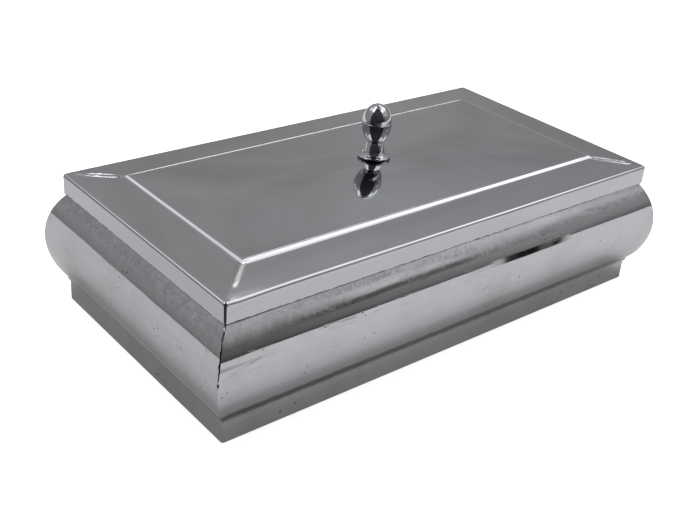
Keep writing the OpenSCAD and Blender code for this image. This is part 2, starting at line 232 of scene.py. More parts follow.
def modified(piece, kind, **settings):
    """Adds a modifier with its settings and applies it."""
    alone(piece)
    modifier = piece.modifiers.new(kind.lower(), kind)
    for key, value in settings.items():
        setattr(modifier, key, value)
    bpy.ops.object.modifier_apply(modifier=modifier.name)


def smooth(piece, angle=35):
    alone(piece)
    bpy.ops.object.shade_smooth_by_angle(angle=math.radians(angle))


def outward(piece):
    """Merges doubles and turns every face outwards."""
    pick_all(piece)
    bpy.ops.mesh.remove_doubles(threshold=1e-6)
    bpy.ops.mesh.normals_make_consistent(inside=False)
    close()


def fit(piece, body, slot, material, *nodes):
    """Gives the piece its body and its finish, and hides the frame nodes that it stands for."""
    piece.data.materials.clear()
    piece.data.materials.append(material)
    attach(piece, body)
    if nodes:
        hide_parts(*nodes)


# Materials

# Sizes of the plate's patterns, larger numbers finer
CLOUD_SCALE, MOTTLE_SCALE, SPECKLE_SCALE, GRAIN_SCALE = 26.0, 150.0, 420.0, 700.0
# Hair scratches: how far each set is turned, and its scale
HAIR_SCRATCHES = ((0.05, 70.0), (0.5, 55.0), (-0.3, 90.0))
# How far the edges of hazes and of bands of painted shade wander
HAZE_DRIFT, SHADE_BAND_RAGGED = 3 * MM, 0.4 * MM
# Where the bands of painted shade fade along the chest: from, to, and their shares there
SHADE_FADE_RIGHT, SHADE_FADE_LEFT = (0.1, 0.17, 1.0, 0.35), (-0.184, -0.18, 0.3, 1.0)
# Colours as shares of the plate's tone, and colours that are the same on every plate
BRIGHT_SILVER, DULL_SILVER = (0.985, 1.0, 1.04), (0.79, 0.79, 0.8)
HAZE_SILVER, SCRATCH_SILVER = (1.66, 1.69, 1.78), (0.45, 0.44, 0.43)
# The dark of the painted shade, the dark of pits, and the pale of rubbed scuffs and painted highlights
SHADE_AND_TARNISH_DARK, PIT_DARK, PALE_RUB_AND_HIGHLIGHT = (0.012, 0.012, 0.013, 1.0), (0.04, 0.038, 0.036, 1.0), (0.97, 0.97, 0.98, 1.0)
# Pale lines on the lid, in millimetres of the plan: painted highlights along the front left fold and the back crest,
# and two rubbed scuffs; both ends, half width and strength
LID_RUBS_AND_HIGHLIGHTS = [
    # Painted highlight along the front left fold
    ((-148.6, -65.4), (-168.0, -84.6), 2.0, 0.75),
    # Two rubbed scuffs
    ((70, -24), (82, -30), 0.4, 0.3),
    ((80, -27), (89, -34), 0.9, 0.16),
    # Painted highlight along the back crest
    ((-146, 65.2), (147, 65.2), 3.2, 0.75),
]


class Nodes:
    """Node tree, built up step by step on its coordinates."""

    def __init__(self, tree, coordinates="Object"):
        self.tree = tree
        self.place = tree.nodes.new("ShaderNodeTexCoord").outputs[coordinates]

    def node(self, kind, inputs=None, **settings):
        made = self.tree.nodes.new("ShaderNode" + kind)
        for key, value in settings.items():
            setattr(made, key, value)
        for key, value in (inputs or {}).items():
            if isinstance(value, bpy.types.NodeSocket):
                self.tree.links.new(value, made.inputs[key])
            else:
                made.inputs[key].default_value = value
        return made

    def stretched(self, size):
        return self.node("Mapping", {"Vector": self.place, "Scale": size}).outputs["Vector"]

    def noise(self, scale, detail=2.0, rough=0.5, size=None):
        vector = self.stretched(size) if size else self.place
        made = self.node("TexNoise", {"Vector": vector, "Scale": scale, "Detail": detail, "Roughness": rough})
        return made.outputs["Fac"]

    def ranged(self, value, low, high, to_low, to_high):
        """Moves a value from one range to another, and stops at its ends."""
        made = self.node("MapRange", {
            "Value": value, "From Min": low, "From Max": high, "To Min": to_low, "To Max": to_high,
        })
        return made.outputs["Result"]

    def soft(self, value, none, full):
        """Goes smoothly from 0 where the value is none to 1 where it is full, whichever is the larger."""
        made = self.node(
            "MapRange", {"Value": value, "From Min": none, "From Max": full}, interpolation_type="SMOOTHSTEP",
        )
        return made.outputs["Result"]

    def math(self, operation, a, b=0.0):
        return self.node("Math", {0: a, 1: b}, operation=operation).outputs[0]

    def vector(self, operation, a, b=(0, 0, 0)):
        return self.node("VectorMath", {0: a, 1: b}, operation=operation)

    def plus(self, a, b):
        return self.math("ADD", a, b)

    def times(self, first, *others):
        for value in others:
            first = self.math("MULTIPLY", first, value)
        return first

    def ramp(self, value, stops):
        """Tones along a value, each stop a place and a grey."""
        made = self.node("ValToRGB", {"Fac": value})
        elements = made.color_ramp.elements
        while len(elements) < len(stops):
            elements.new(0.5)
        for element, (at, tone) in zip(elements, stops):
            element.position = at
            element.color = (tone, tone, tone, 1)
        return made.outputs["Color"]

    def blend(self, share, a, b, **settings):
        return self.node("Mix", {"Factor": share, 6: a, 7: b}, data_type="RGBA", **settings).outputs[2]


class Finish(Nodes):
    """A material with its nodes."""

    def __init__(self, name, **sockets):
        self.material = bpy.data.materials.new(name)
        self.material.use_nodes = True
        super().__init__(self.material.node_tree)
        self.shader = self.tree.nodes["Principled BSDF"]
        for socket, value in sockets.items():
            self.shader.inputs[socket.replace("_", " ")].default_value = value

    def send(self, value, socket):
        self.tree.links.new(value, self.shader.inputs[socket])

    def bumped(self, height, depth, strength=1.0):
        made = self.node("Bump", {"Height": height, "Distance": depth, "Strength": strength})
        self.send(made.outputs["Normal"], "Normal")

    def glow(self, colour, strength=1.0):
        """Makes the material shine evenly by itself."""
        shine = self.node("Emission", {"Color": colour, "Strength": strength})
        self.tree.links.new(shine.outputs[0], self.tree.nodes["Material Output"].inputs["Surface"])


class SilverPlate(Finish):
    """Polished silver plate with tarnished clouds, on which marks of use, painted shade and painted highlights are
    laid one after another.
    """

    def __init__(self, name, tone, gloss, cloud):
        super().__init__(name, Metallic=1.0)
        self.tone = tone
        along = self.node("SeparateXYZ", {0: self.place}).outputs
        self.along, self.height = along["X"], along["Z"]
        self.clouds = self.noise(CLOUD_SCALE, 4.0, 0.62)
        self.mottle = self.noise(MOTTLE_SCALE, 3.0, 0.7)
        dulled = self.ranged(self.clouds, 0.45, 0.7, 0.0, cloud)
        self.colour = self.blend(dulled, self.tinted(BRIGHT_SILVER), self.tinted(DULL_SILVER))
        self.gloss = self.ranged(self.clouds, 0.4, 0.7, gloss, gloss + 0.05 * cloud)
        self.relief = 0.0

    def tinted(self, shares):
        return tuple(self.tone * share for share in shares) + (1.0,)

    def mark(self, share, colour, rougher):
        """Lays a mark of a colour over the plate and roughens it there."""
        self.colour = self.blend(share, self.colour, colour)
        if rougher:
            self.gloss = self.plus(self.gloss, self.times(share, rougher))

    def haze(self, start, full, end, strength):
        """Dulled band between heights, pale and speckled, that drifts in from its start."""
        drift = self.plus(self.height, self.ranged(self.clouds, 0.3, 0.7, -HAZE_DRIFT, HAZE_DRIFT))
        band = self.times(self.soft(drift, start, full), self.soft(self.height, end, end - HAZE_DRIFT))
        speckle = self.noise(SPECKLE_SCALE, 3.0, 0.75)
        spots = self.times(self.soft(speckle, 0.36, 0.66), self.soft(self.mottle, 0.3, 0.56), 0.75)
        spots = self.plus(spots, self.ranged(self.clouds, 0.42, 0.66, 0.0, 0.55))
        dulled = self.times(band, spots, strength)
        self.gloss = self.plus(self.gloss, self.times(dulled, 0.3))
        self.mark(self.times(dulled, 0.6), self.tinted(HAZE_SILVER), 0.0)

    def stain_and_shade(self, start, full, end, strength):
        """Dark band of painted shade between heights, with ragged edges, that fades towards the chest's right end,
        where more light falls.
        """
        ragged = self.plus(self.height, self.ranged(self.mottle, 0.3, 0.7, -SHADE_BAND_RAGGED, SHADE_BAND_RAGGED))
        band = self.times(self.soft(ragged, start, full), self.soft(ragged, end + (full - start) * 0.5, end))
        faded = self.ranged(self.along, *SHADE_FADE_RIGHT)
        left = self.ranged(self.along, *SHADE_FADE_LEFT)
        self.mark(self.times(band, faded, left, strength), SHADE_AND_TARNISH_DARK, 0.05)

    def rub_and_highlight(self, start, end, half_wide, strength):
        """Pale line between two places of the plan, in millimetres: rubbed scuffs, and painted highlights along
        folds and crests.
        """
        first = Vector(start).to_3d() * MM
        run_way = Vector(end).to_3d() * MM - first
        long = run_way.length
        run_way.normalize()
        off = self.vector("SUBTRACT", self.place, tuple(first)).outputs[0]
        run = self.vector("DOT_PRODUCT", off, tuple(run_way)).outputs["Value"]
        wide = self.vector("DOT_PRODUCT", off, (-run_way.y, run_way.x, 0)).outputs["Value"]
        line = self.soft(self.math("ABSOLUTE", wide), half_wide * MM, half_wide * 0.2 * MM)
        line = self.times(line, self.soft(run, 0, 2 * MM), self.soft(run, long, long - 3 * MM))
        self.mark(self.times(line, self.soft(self.mottle, 0.2, 0.5), strength), PALE_RUB_AND_HIGHLIGHT, 0.35)

    def scratch(self, depth):
        """Sparse hair scratches, mostly along the chest."""
        found = None
        for turn, scale in HAIR_SCRATCHES:
            lines = self.node("Mapping", {"Vector": self.place, "Rotation": (0, 0, turn), "Scale": (0.06, 1.0, 1.0)})
            cells = self.node("TexVoronoi", {"Vector": lines.outputs[0], "Scale": scale}, feature="DISTANCE_TO_EDGE")
            line = self.soft(cells.outputs["Distance"], 0.012, 0.0)
            line = self.times(line, self.soft(self.noise(scale * 0.45, 2.0), 0.56, 0.66))
            found = line if found is None else self.math("MAXIMUM", found, line)
        self.mark(self.times(found, 0.35 * depth), self.tinted(SCRATCH_SILVER), 0.0)
        self.relief = self.times(found, -0.4 * depth)

    def pit(self, scale):
        """Small pits in the plating, gathered in patches."""
        cells = self.node("TexVoronoi", {"Vector": self.place, "Scale": scale})
        dot = self.soft(cells.outputs["Distance"], 0.2, 0.09)
        dots = self.times(dot, self.soft(self.noise(38.0, 3.0, 0.6), 0.55, 0.62))
        self.mark(self.times(dots, 0.85), PIT_DARK, 0.0)
        self.relief = self.math("SUBTRACT", self.relief, dots)

    def finished(self):
        grain = self.noise(GRAIN_SCALE, 2.0, 0.6)
        self.send(self.colour, "Base Color")
        self.send(self.gloss, "Roughness")
        self.bumped(self.plus(self.relief, self.times(grain, 0.06)), 0.03 * MM, 0.6)
        return self.material


def tarnish_and_shade_finish():
    """Dark tarnished metal with a fine grain in its colour, gloss and surface; its darkness partly stands as painted
    shade in the rim's open seams.
    """
    colour, rough = (0.06, 0.055, 0.05), 0.5
    made = Finish("seam_tarnish_and_shade", Metallic=0.8)
    grain = made.noise(400.0, 4.0)
    light, dark = (tuple(c * share for c in colour) + (1.0,) for share in (1.12, 0.82))
    made.send(made.blend(grain, dark, light), "Base Color")
    made.send(made.ranged(grain, 0.3, 0.7, rough * 0.85, rough * 1.15), "Roughness")
    made.bumped(grain, 0.02 * MM)
    return made.material


def side_finish():
    """Side sheets: a hazed band under the lid, a dark line of painted shade in the cove and another under the lid's
    rim, and pits all over.
    """
    plate = SilverPlate("side_plate", 0.47, 0.045, 0.6)
    plate.haze(63 * MM, 73 * MM, 80 * MM, 0.8)
    # Painted shade in the cove above the plinth, partly tarnished: the dark that the sheet mirrors from the shadowed
    # floor there
    plate.stain_and_shade(26 * MM, 23.6 * MM, 17 * MM, 0.85)
    # Painted shade of the gap under the lid's rim, along the top of the sheet
    plate.stain_and_shade(77.5 * MM, 78.2 * MM, 80 * MM, 0.9)
    plate.scratch(1.5)
    plate.pit(260.0)
    return plate.finished()


def plinth_finish():
    plate = SilverPlate("plinth_plate", 0.48, 0.09, 0.6)
    # Painted shade along the plinth's top, where the side sheets meet it
    plate.stain_and_shade(13.7 * MM, 14.2 * MM, 15 * MM, 0.2)
    plate.scratch(0.5)
    plate.pit(200.0)
    return plate.finished()


def lid_finish():
    """Lid: painted shade along the rim's foot, painted highlights along its front left fold and its back crest, and
    two scuffs rubbed pale.
    """
    plate = SilverPlate("lid_plate", 0.465, 0.035, 0.15)
    # Painted shade of the gap along the rim's foot
    plate.stain_and_shade(79.6 * MM, 79.3 * MM, 78 * MM, 0.85)
    for start, end, half_wide, strength in LID_RUBS_AND_HIGHLIGHTS:
        plate.rub_and_highlight(start, end, half_wide, strength)
    plate.scratch(0.3)
    return plate.finished()


def knob_finish():
    plate = SilverPlate("knob_plate", 0.5, 0.025, 0.1)
    plate.scratch(0.2)
    return plate.finished()


def wood_finish():
    """Plain carcass wood: long growth lines, pores and a dull rubbed surface."""
    wood = Finish("carcass_wood")
    lines = wood.noise(24.0, 5.0, 0.6, (0.07, 1.0, 1.0))
    figure = wood.node("TexWave", {
        "Vector": wood.stretched((0.12, 1.0, 1.0)), "Scale": 26.0, "Distortion": 9.0,
        "Detail": 3.0, "Detail Scale": 1.4,
    }, bands_direction="Y").outputs["Fac"]
    pores = wood.soft(wood.noise(900.0, 2.0, 0.6, (0.04, 1.0, 1.0)), 0.6, 0.68)
    colour = wood.blend(figure, (0.40, 0.245, 0.13, 1), (0.29, 0.165, 0.083, 1))
    colour = wood.blend(wood.ranged(lines, 0.35, 0.7, 0.0, 0.5), colour, (0.47, 0.31, 0.18, 1))
    colour = wood.blend(wood.times(pores, 0.6), colour, (0.11, 0.06, 0.03, 1))
    wood.send(colour, "Base Color")
    wood.send(wood.ranged(lines, 0.3, 0.7, 0.5, 0.68), "Roughness")
    wood.bumped(wood.math("SUBTRACT", wood.times(figure, 0.3), pores), 0.06 * MM, 0.7)
    return wood.material


def metal_finish(name, colour, rough, stain_and_shade):
    """Rubbed metal with fine lines, dulled patches and darker specks."""
    metal = Finish(name, Metallic=1.0)
    lines = metal.noise(1400.0, 2.0, 0.6, (0.05, 1.0, 1.0))
    patches = metal.noise(90.0, 4.0, 0.6)
    specks = metal.soft(metal.noise(600.0, 3.0, 0.7), 0.62, 0.7)
    shade = metal.blend(metal.ranged(patches, 0.4, 0.68, 0.0, 0.8), colour + (1,), stain_and_shade + (1,))
    shade = metal.blend(metal.times(specks, 0.5), shade, tuple(c * 0.35 for c in stain_and_shade) + (1,))
    metal.send(shade, "Base Color")
    metal.send(metal.ranged(patches, 0.35, 0.7, rough, rough + 0.2), "Roughness")
    metal.bumped(lines, 0.015 * MM, 0.7)
    return metal.material


def nap_finish(name, colour, pale, thread=0.0, nap=1.0):
    """Cloth: brushed nap that catches the light in drifts, over a fine weave where one is given."""
    cloth = Finish(name, Roughness=0.95)
    cloth.shader.inputs["Sheen Weight"].default_value = 0.5 * nap
    cloth.shader.inputs["Sheen Roughness"].default_value = 0.45
    cloth.shader.inputs["Sheen Tint"].default_value = pale + (1,)
    cloth.shader.inputs["Specular IOR Level"].default_value = 0.15
    drifts = cloth.noise(42.0, 4.0, 0.6, (0.6, 1.0, 1.0))
    fuzz = cloth.noise(2600.0, 3.0, 0.75)
    # Painted sheen: drifts of the nap painted paler, where they would catch the light
    shade = cloth.blend(cloth.ranged(drifts, 0.36, 0.66, 0.0, 0.7), colour + (1,), pale + (1,))
    shade = cloth.blend(cloth.ranged(fuzz, 0.4, 0.68, 0.0, 0.55), shade, tuple(c * 0.45 for c in colour) + (1,))
    relief = cloth.plus(cloth.times(drifts, 0.5), fuzz)
    if thread:
        for direction in ("X", "Y", "Z"):
            rib = cloth.node("TexWave", {"Vector": cloth.place, "Scale": thread, "Distortion": 0.6},
                             bands_direction=direction).outputs["Fac"]
            relief = cloth.plus(relief, cloth.times(rib, 0.3))
    cloth.send(shade, "Base Color")
    cloth.bumped(relief, 0.12 * MM, 0.8)
    return cloth.material


# Camera, floor and light


def make_camera():
    ahead = Vector((
        math.sin(CAMERA_TURN) * math.cos(CAMERA_DOWN),
        math.cos(CAMERA_TURN) * math.cos(CAMERA_DOWN),
        -math.sin(CAMERA_DOWN),
    ))
    turn = ahead.to_track_quat("-Z", "Y") @ Quaternion((0, 0, 1), CAMERA_ROLL)
    bpy.ops.object.camera_add(location=CAMERA_PLACE, rotation=turn.to_euler())
    camera = bpy.context.object
    camera.data.lens = LENS
    camera.data.sensor_width = 36.0
    camera.data.clip_start = 0.01
    bpy.context.scene.camera = camera


def level_sheet(name, size_x, size_y, middle=(0, 0, 0)):
    bpy.ops.mesh.primitive_plane_add(size=1, location=middle)
    sheet = named(name)
    sheet.scale = (size_x, size_y, 1)
    settle(sheet)
    return sheet


def only_mirrored(piece):
    """Leaves the piece to be seen in the polished metal and nowhere else."""
    piece.visible_camera = piece.visible_diffuse = piece.visible_shadow = False


def make_floor():
    """Pale floor for the eye."""
    floor = level_sheet("floor", FLOOR_SIZE, FLOOR_SIZE)
    paint = Finish("pale_floor", Roughness=0.9)
    paint.shader.inputs["Base Color"].default_value = (0.8, 0.8, 0.8, 1)
    paint.shader.inputs["Emission Color"].default_value = (1, 1, 1, 1)
    paint.shader.inputs["Emission Strength"].default_value = FLOOR_GLOW
    floor.data.materials.append(paint.material)
    floor.visible_glossy = False


def make_mirrored_floor():
    """Glowing sheet that the polished metal mirrors in place of the floor, with painted shade towards the plinth and
    a painted shadow sector.
    """
    middle = ((MIRROR_REACH - MIRROR_LEFT) / 2, (MIRROR_REACH - MIRROR_FRONT) / 2, -0.1 * MM)
    table = level_sheet("mirrored_floor", MIRROR_REACH + MIRROR_LEFT, MIRROR_REACH + MIRROR_FRONT, middle)
    paint = Finish("mirrored_floor")
    foot = paint.vector("ABSOLUTE", paint.place).outputs[0]
    past = paint.vector("SUBTRACT", foot, (band_high.x, band_high.y, 0)).outputs[0]
    past = paint.vector("MAXIMUM", past).outputs[0]
    away = paint.vector("LENGTH", past).outputs["Value"]
    side = paint.node("SeparateXYZ", {0: paint.place}).outputs["X"]
    away = paint.plus(away, paint.ranged(side, *RIGHT_LIGHTER))
    shade = paint.ramp(paint.ranged(away, 0.0, SHADE_REACH, 0.0, 1.0), FLOOR_SHADE)
    way = paint.vector("NORMALIZE", paint.place).outputs[0]
    toward = paint.vector("DOT_PRODUCT", way, SHADOW_WAY).outputs["Value"]
    far = paint.vector("LENGTH", paint.place).outputs["Value"]
    shadow = paint.times(paint.soft(toward, *SHADOW_SIDES), paint.soft(far, *SHADOW_START))
    shade = paint.blend(shadow, shade, SHADOW_TONE)
    paint.glow(shade, paint.ranged(side, -band_high.x - 0.03, -band_high.x, LEFT_DIMMER, 1.0))
    table.data.materials.append(paint.material)
    only_mirrored(table)


def table_things():
    """Dark and light things that stand in front on the table and show as a small strip in the front sheet."""
    for k, (at, wide, tone) in enumerate(TABLE_THINGS):
        bpy.ops.mesh.primitive_cube_add(size=1, location=(0, 0, THING_HIGH / 2))
        thing = named("table_thing_%d" % (k + 1))
        thing.scale = (wide * THING_SCALE, THING_DEEP, THING_HIGH)
        settle(thing)
        modified(thing, "BEVEL", width=2 * MM, segments=2)
        thing.location = (THING_LEFT + (at + wide / 2) * THING_SCALE, THING_AWAY, 0)
        settle(thing)
        paint = Finish(thing.name)
        paint.glow((tone, tone * 0.95, tone * 0.93, 1))
        thing.data.materials.append(paint.material)
        only_mirrored(thing)


def soft_light(name, place, aim, size, power):
    bpy.ops.object.light_add(type="AREA", location=place)
    light = bpy.context.object
    light.name = name
    light.data.shape = "RECTANGLE"
    light.data.size, light.data.size_y = size
    light.data.energy = power
    light.rotation_euler = (Vector(aim) - Vector(place)).to_track_quat("-Z", "Y").to_euler()
    return light


class Room(Nodes):
    """Room round the table, painted by the way and the height in which each part of it lies."""

    def __init__(self, world):
        super().__init__(world.node_tree, "Generated")
        parts = self.node("SeparateXYZ", {0: self.place}).outputs
        self.up = self.math("ARCSINE", parts["Z"])
        self.turn = self.math("ARCTAN2", parts["X"], parts["Y"])

    def tones(self, stops):
        """Tones by degrees above the horizon."""
        height = self.ranged(self.up, -math.pi / 2, math.pi / 2, 0.0, 1.0)
        return self.ramp(height, [(0.5 + degrees / 180, tone) for degrees, tone in stops])

    def patch(self, way, reach, edge):
        """Share of a soft-edged patch of the room, from 1 inside to 0 outside."""
        off = self.math("SUBTRACT", self.turn, math.radians(way[0] if way[0] <= 180 else way[0] - 360))
        off = self.math("ARCTAN2", self.math("SINE", off), self.math("COSINE", off))
        wide = self.times(off, 180 / math.pi / reach[0])
        degrees_up = self.times(self.up, 180 / math.pi)
        high = self.math("DIVIDE", self.math("SUBTRACT", degrees_up, way[1]), reach[1])
        out = self.math("MAXIMUM", self.math("ABSOLUTE", wide), self.math("ABSOLUTE", high))
        return self.soft(out, 1 + edge, 1 - edge)


def make_room():
    world = bpy.data.worlds.new("room")
    bpy.context.scene.world = world
    world.use_nodes = True
    room = Room(world)
    ahead = room.patch(AHEAD_WAY, AHEAD_REACH, AHEAD_EDGE)
    tone = room.blend(ahead, room.tones(ROOM_BEHIND), room.tones(ROOM_AHEAD))
    for way, reach, edge, tint in ROOM_PATCHES:
        tone = room.blend(room.patch(way, reach, edge), tone, tint + (1,), blend_type="MULTIPLY")
    for way, reach, edge, glow in LIGHT_PATCHES:
        tone = room.blend(room.patch(way, reach, edge), tone, (glow, glow, glow, 1))
    background = room.tree.nodes["Background"]
    room.tree.links.new(tone, background.inputs["Color"])
    unevenness = room.ranged(room.noise(5.0, 3.0, 0.6), 0.3, 0.7, 0.86, 1.14)
    room.tree.links.new(unevenness, background.inputs["Strength"])


make_camera()
make_floor()
make_mirrored_floor()
table_things()
make_room()
top_light = soft_light("top_softbox", (0.1, 0.1, 1.5), (0, 0, 0), (0.9, 0.9), 9)
top_light.visible_glossy = False
bpy.context.scene.view_settings.view_transform = "Standard"


# Lid


def arch(t, roundness):
    reach = math.sqrt(1 + roundness * roundness) - roundness
    return max(0.0, 1 - (math.sqrt(t * t + roundness * roundness) - roundness) / reach)


def crowned(point, half_x, half_y):
    rise = CROWN_Z - PANEL_Z
    point.z += rise * arch(point.x / half_x, RIDGE_X) * arch(point.y / half_y, RIDGE_Y)
    return point


def crowded(share, half, count):
    """Place of a row or column when the outermost ones stand a fine step apart."""
    edge = FINE_COLUMNS * 2 / count
    fine = FINE_COLUMNS * FINE_STEP
    inner = 1 - edge
    size = abs(share)
    if size <= inner:
        placed = size / inner * (half - fine)
    else:
        placed = half - fine + (size - inner) / edge * fine
    return math.copysign(placed, share)


def ring_size(share):
    """Half length and half width of a ring that lies a share of the way from the panel to the rim."""
    return PANEL_X + (RIM_X - PANEL_X) * share, PANEL_Y + (RIM_Y - PANEL_Y) * share


def draw_out(piece, rings):
    """Draws the sheet's open edge out through rings, each a share of the way to the rim and a height."""
    alone(piece)
    bpy.ops.object.mode_set(mode="EDIT")
    bpy.ops.mesh.select_mode(type="EDGE")
    bpy.ops.mesh.select_all(action="DESELECT")
    bpy.ops.mesh.select_non_manifold(extend=False, use_wire=False, use_boundary=True)
    last_share, last_up = 0.0, (PANEL_Z - LID_Z) / MM
    for share, up in rings:
        (x0, y0), (x1, y1) = ring_size(last_share), ring_size(share)
        bpy.ops.mesh.extrude_region_move()
        bpy.ops.transform.resize(value=(x1 / x0, y1 / y0, 1), center_override=(0, 0, 0))
        bpy.ops.transform.translate(value=(0, 0, (up - last_up) * MM))
        last_share, last_up = share, up
    close()


def ring_share(p):
    """How far out a point of the lid lies: 0 at the panel's border, 1 at the rim."""
    return max((abs(p.x) - PANEL_X) / (RIM_X - PANEL_X), (abs(p.y) - PANEL_Y) / (RIM_Y - PANEL_Y))


def round_corner(p):
    """Turns the square corner of a ring into a small arc, full at the rim and none further in."""
    share = ring_share(p)
    half_x, half_y = ring_size(share)
    radius = RIM_CORNER - (RIM_Y - half_y)
    if radius < 0.1 * MM:
        return p
    gap_x, gap_y = half_x - abs(p.x), half_y - abs(p.y)
    gap = max(gap_x, gap_y)
    if gap >= radius:
        return p
    angle = math.pi / 4 * (1 - gap / radius)
    if gap_x > gap_y:
        angle = math.pi / 2 - angle
    p.x = math.copysign(half_x - radius + radius * math.cos(angle), p.x)
    p.y = math.copysign(half_y - radius + radius * math.sin(angle), p.y)
    return p


def rough(p, size, shift=0.0):
    """Even-handed unevenness between about -1 and 1, the same each time."""
    return noise.noise(Vector((p.x / size + shift, p.y / size, p.z / size)))


def bell(off, wide):
    """1 in the middle of a smooth rise, and less the further off."""
    return math.exp(-((off / wide) ** 2))


class Fold:
    """Pressed fold along a corner of the frame: a raised welt round a shallow dish."""

    def __init__(self, side_x, side_y, start, end, half_wide, welt, dish, lean=0.0):
        self.start = Vector((side_x * PANEL_X, side_y * PANEL_Y, 0))
        self.along = (Vector((side_x * RIM_X, side_y * RIM_Y, 0)) - self.start).normalized()
        self.across = Vector((-self.along.y, self.along.x, 0))
        self.middle, self.half_long = (start + end) / 2 * MM, (end - start) / 2 * MM
        self.half_wide, self.welt, self.dish, self.lean = half_wide * MM, welt * MM, dish * MM, lean

    def height(self, p):
        away = Vector((p.x, p.y, 0)) - self.start
        t = (away.dot(self.along) - self.middle) / self.half_long
        wide = self.half_wide * (1 + self.lean * t)
        s = away.dot(self.across) / wide
        if abs(t) > 1.4 or abs(s) > 3:
            return 0.0
        out = math.sqrt(s * s + abs(t) ** 3)
        ring = bell((out - 1) * wide, 0.5 * MM)
        inside = max(0.0, 1 - out * out)
        return self.welt * ring - self.dish * inside


# Folds at the corners: sides of the lid, start and end out from the panel, half width, welt, dish and lean
FOLDS = [
    Fold(-1, 1, 7, 32, 1.9, 0.5, 0.1, -0.25),
    Fold(1, -1, 1.5, 31, 2.0, 0.5, 0.15, 0.1),
    Fold(-1, -1, 1.5, 25, 2.1, 0.3, -0.45, -0.1),
    Fold(1, 1, 5, 30, 1.2, 0.08, 0.0),
]
# Small bumps and nicks at the corners: the place, size and height of each
BUMPS = [((147.4, 63.2), 0.9, 0.35), ((-148.3, -63.6), 0.5, -0.3)]
# Dip of the rim's front edge next to its left corner: how deep, and how far it reaches along and inwards
DIP, DIP_ALONG, DIP_INWARD = 0.6 * MM, 24, 4.0
# Waves of the crest, of the whole sheet and of the rim's edge
CREST_WAVE, SHEET_WAVE, EDGE_WAVE = 0.16 * MM, 0.05 * MM, 0.12 * MM


def worked(p):
    """Leaves the marks of hand work in the lid: folded corners, a softened front left corner, slight waves."""
    share = ring_share(p)
    if share > 0.12 and p.z > RIM_TOP - 1 * MM:
        p.z += sum(fold.height(p) for fold in FOLDS)
    if p.z > RIM_TOP - 1 * MM:
        for (x, y), size, high in BUMPS:
            far = ((p.x / MM - x) ** 2 + (p.y / MM - y) ** 2) / size ** 2
            if far < 9:
                p.z += high * MM * math.exp(-far)
    along = (RIM_X + p.x) / MM
    inward = (RIM_Y + p.y) / MM
    if p.y < 0 and along < 90 and inward < 16:
        p.z -= DIP * bell(along, DIP_ALONG) * bell(inward, DIP_INWARD) * (1 - bell(along, 5))
    p.z += CREST_WAVE * bell(share - 0.055, 0.05) * rough(p, 9 * MM)
    p.z += SHEET_WAVE * rough(p, 33 * MM) * min(1.0, max(0.0, (1.2 - share) * 3))
    p.z += EDGE_WAVE * bell(share - 1, 0.05) * rough(p, 14 * MM, 5.0)
    return p


def cut_away(piece, test):
    """Deletes the faces whose every corner passes the test."""
    pick(piece, "FACE", test)
    bpy.ops.mesh.delete(type="FACE")
    close()


def sliced(piece, place, direction):
    """Adds an edge where a plane crosses the piece."""
    pick_all(piece)
    bpy.ops.mesh.bisect(plane_co=place, plane_no=direction)
    close()


def slice_notch_ends(piece):
    """Adds edges at both ends of both hinge notches."""
    for side in (-1, 1):
        for end in (-1, 1):
            sliced(piece, (side * HINGE_X + end * NOTCH_HALF, 0, 0), (1, 0, 0))


def at_hinge(p):
    return abs(abs(p.x) - HINGE_X) < NOTCH_HALF + 0.1 * MM


def lid_sheet():
    bpy.ops.mesh.primitive_grid_add(x_subdivisions=PANEL_COLUMNS, y_subdivisions=PANEL_ROWS, size=2)
    lid = named("lid_sheet")
    move_points(lid, lambda p: Vector((
        crowded(p.x, PANEL_X, PANEL_COLUMNS), crowded(p.y, PANEL_Y, PANEL_ROWS), PANEL_Z,
    )))
    full = (RIM_Y - PANEL_Y) / MM
    rings = [(out / full, up) for out, up in CREST_SECTION]
    last_out, last_up = CREST_SECTION[-1]
    round_start = full - RIM_ROUND / MM
    for k in range(1, FRAME_RINGS + 1):
        t = k / FRAME_RINGS
        up = last_up + (FRAME_END - last_up) * t + FRAME_BELLY * math.sin(math.pi * t)
        rings.append(((last_out + (round_start - last_out) * t) / full, up))
    for k in range(1, RIM_RINGS + 1):
        a = math.pi / 2 * k / RIM_RINGS
        out = RIM_ROUND / MM * math.sin(a)
        rings.append(((round_start + out) / full, FRAME_END - RIM_ROUND / MM * (1 - math.cos(a))))
    rings += [(1, up) for up in RIM_EDGES]
    draw_out(lid, rings)
    move_points(lid, lambda p: crowned(p, PANEL_X, PANEL_Y))
    move_points(lid, round_corner)
    slice_notch_ends(lid)
    cut_away(lid, lambda p: at_hinge(p) and p.y > RIM_Y - 0.1 * MM and p.z < LID_Z + 2.1 * MM)

    def in_slit(p, wide):
        corner = Vector((RIM_X - RIM_CORNER, RIM_Y - RIM_CORNER))
        angle = math.degrees(math.atan2(abs(p.y) - corner.y, abs(p.x) - corner.x))
        return p.z < LID_Z + 11.2 * MM and abs(p.x) > corner.x and abs(p.y) > corner.y and abs(angle - 45) < wide

    cut_away(lid, lambda p: p.x < 0 and p.y < 0 and in_slit(p, 26))
    cut_away(lid, lambda p: p.x < 0 and p.y > 0 and in_slit(p, 13))
    move_points(lid, worked)
    outward(lid)
    modified(lid, "SOLIDIFY", thickness=SHEET, offset=-1, use_even_offset=True)
    smooth(lid, 50)
    return lid


